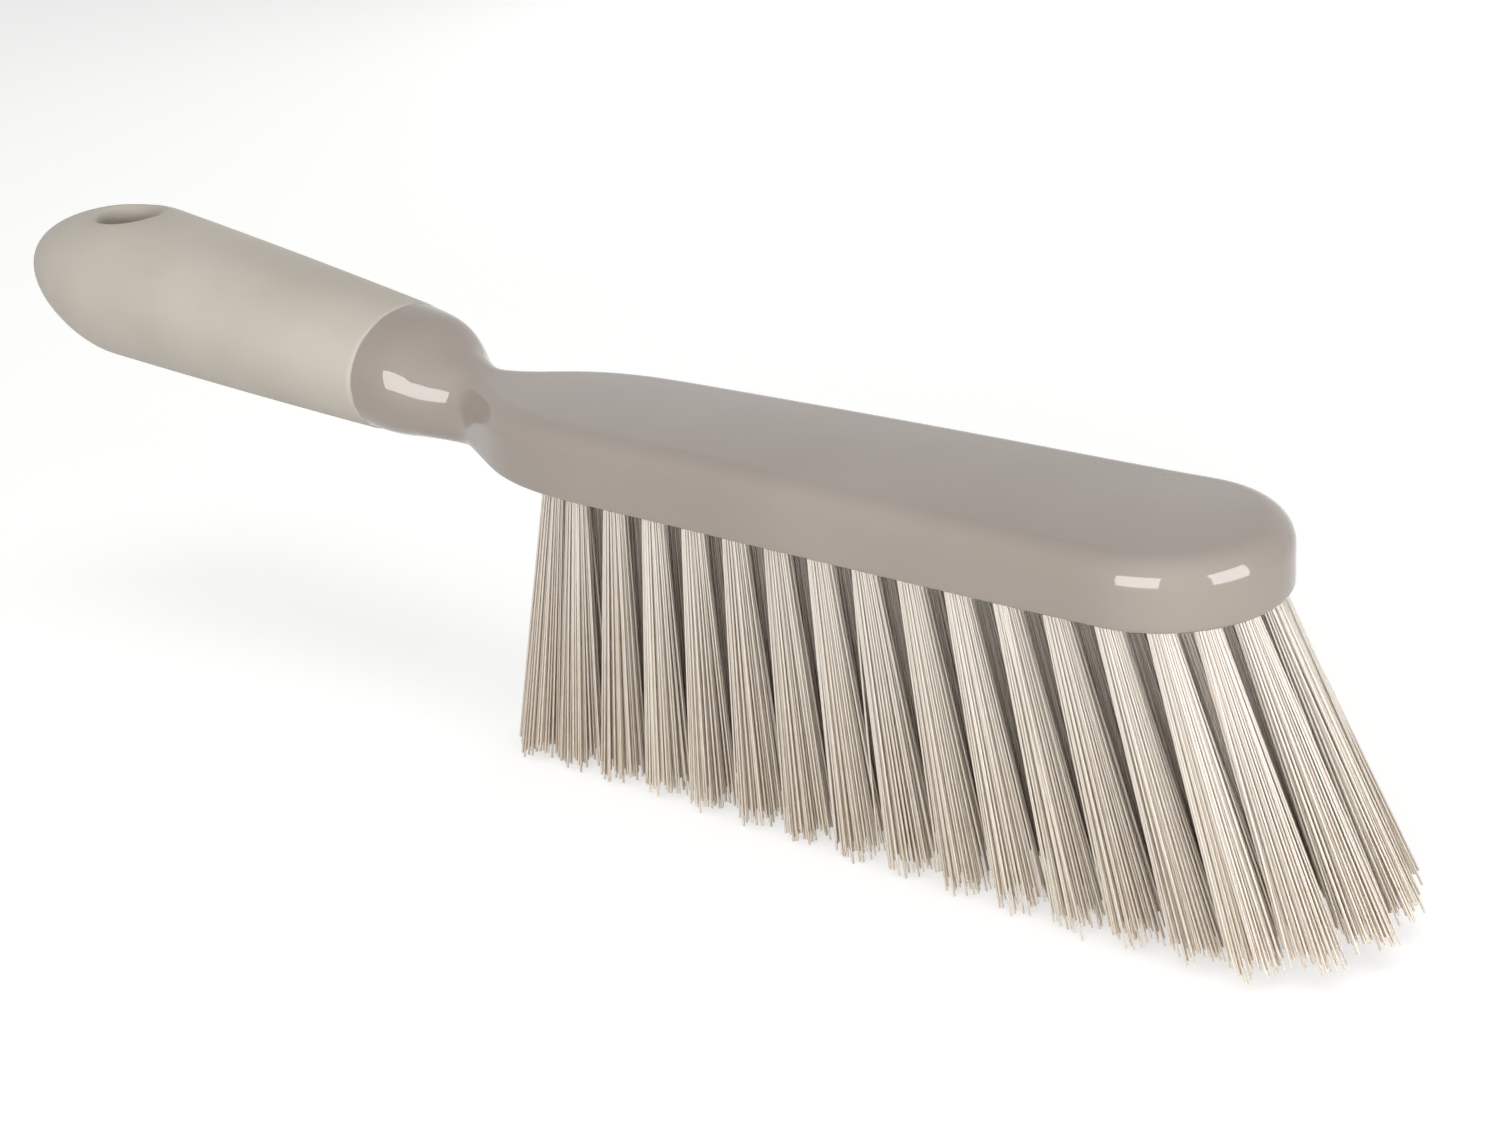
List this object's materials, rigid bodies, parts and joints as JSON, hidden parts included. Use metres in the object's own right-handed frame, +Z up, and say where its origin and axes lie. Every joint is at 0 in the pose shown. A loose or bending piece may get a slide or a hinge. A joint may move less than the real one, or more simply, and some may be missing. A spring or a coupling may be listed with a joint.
{
  "type": "hand broom",
  "caption": "Hand broom with a long round-nosed brush block, fanned filament tufts, a narrow neck and an oval soft grip with a hang hole.",
  "frame": {"origin": "on the floor under the middle of the broom, which stands on its bristle tips", "axes": "+X from the handle to the nose, +Y to the broom's left, +Z up"},
  "size_m": [0.3335, 0.0442, 0.0953],
  "materials": {
    "block": "glossy warm grey",
    "grip": "matte light beige",
    "filament": "matte cream",
    "anchor": "drawn wire"
  },
  "bodies": {
    "root": {"brush_block": "block", "soft_grip": "grip", "tuft_anchors": "anchor", "outer_tufts_01": "filament", "outer_tufts_02": "filament", "outer_tufts_03": "filament", "outer_tufts_04": "filament", "outer_tufts_05": "filament", "outer_tufts_06": "filament", "outer_tufts_07": "filament", "outer_tufts_08": "filament", "outer_tufts_09": "filament", "outer_tufts_10": "filament", "outer_tufts_11": "filament", "outer_tufts_12": "filament", "outer_tufts_13": "filament", "outer_tufts_14": "filament", "inner_tufts_01": "filament", "inner_tufts_02": "filament", "inner_tufts_03": "filament", "inner_tufts_04": "filament", "inner_tufts_05": "filament", "inner_tufts_06": "filament", "inner_tufts_07": "filament", "inner_tufts_08": "filament", "inner_tufts_09": "filament", "inner_tufts_10": "filament", "inner_tufts_11": "filament", "inner_tufts_12": "filament", "inner_tufts_13": "filament", "inner_tufts_14": "filament", "inner_tufts_15": "filament", "nose_tufts_1": "filament", "nose_tufts_2": "filament", "nose_tufts_3": "filament"}
  },
  "joints": []
}
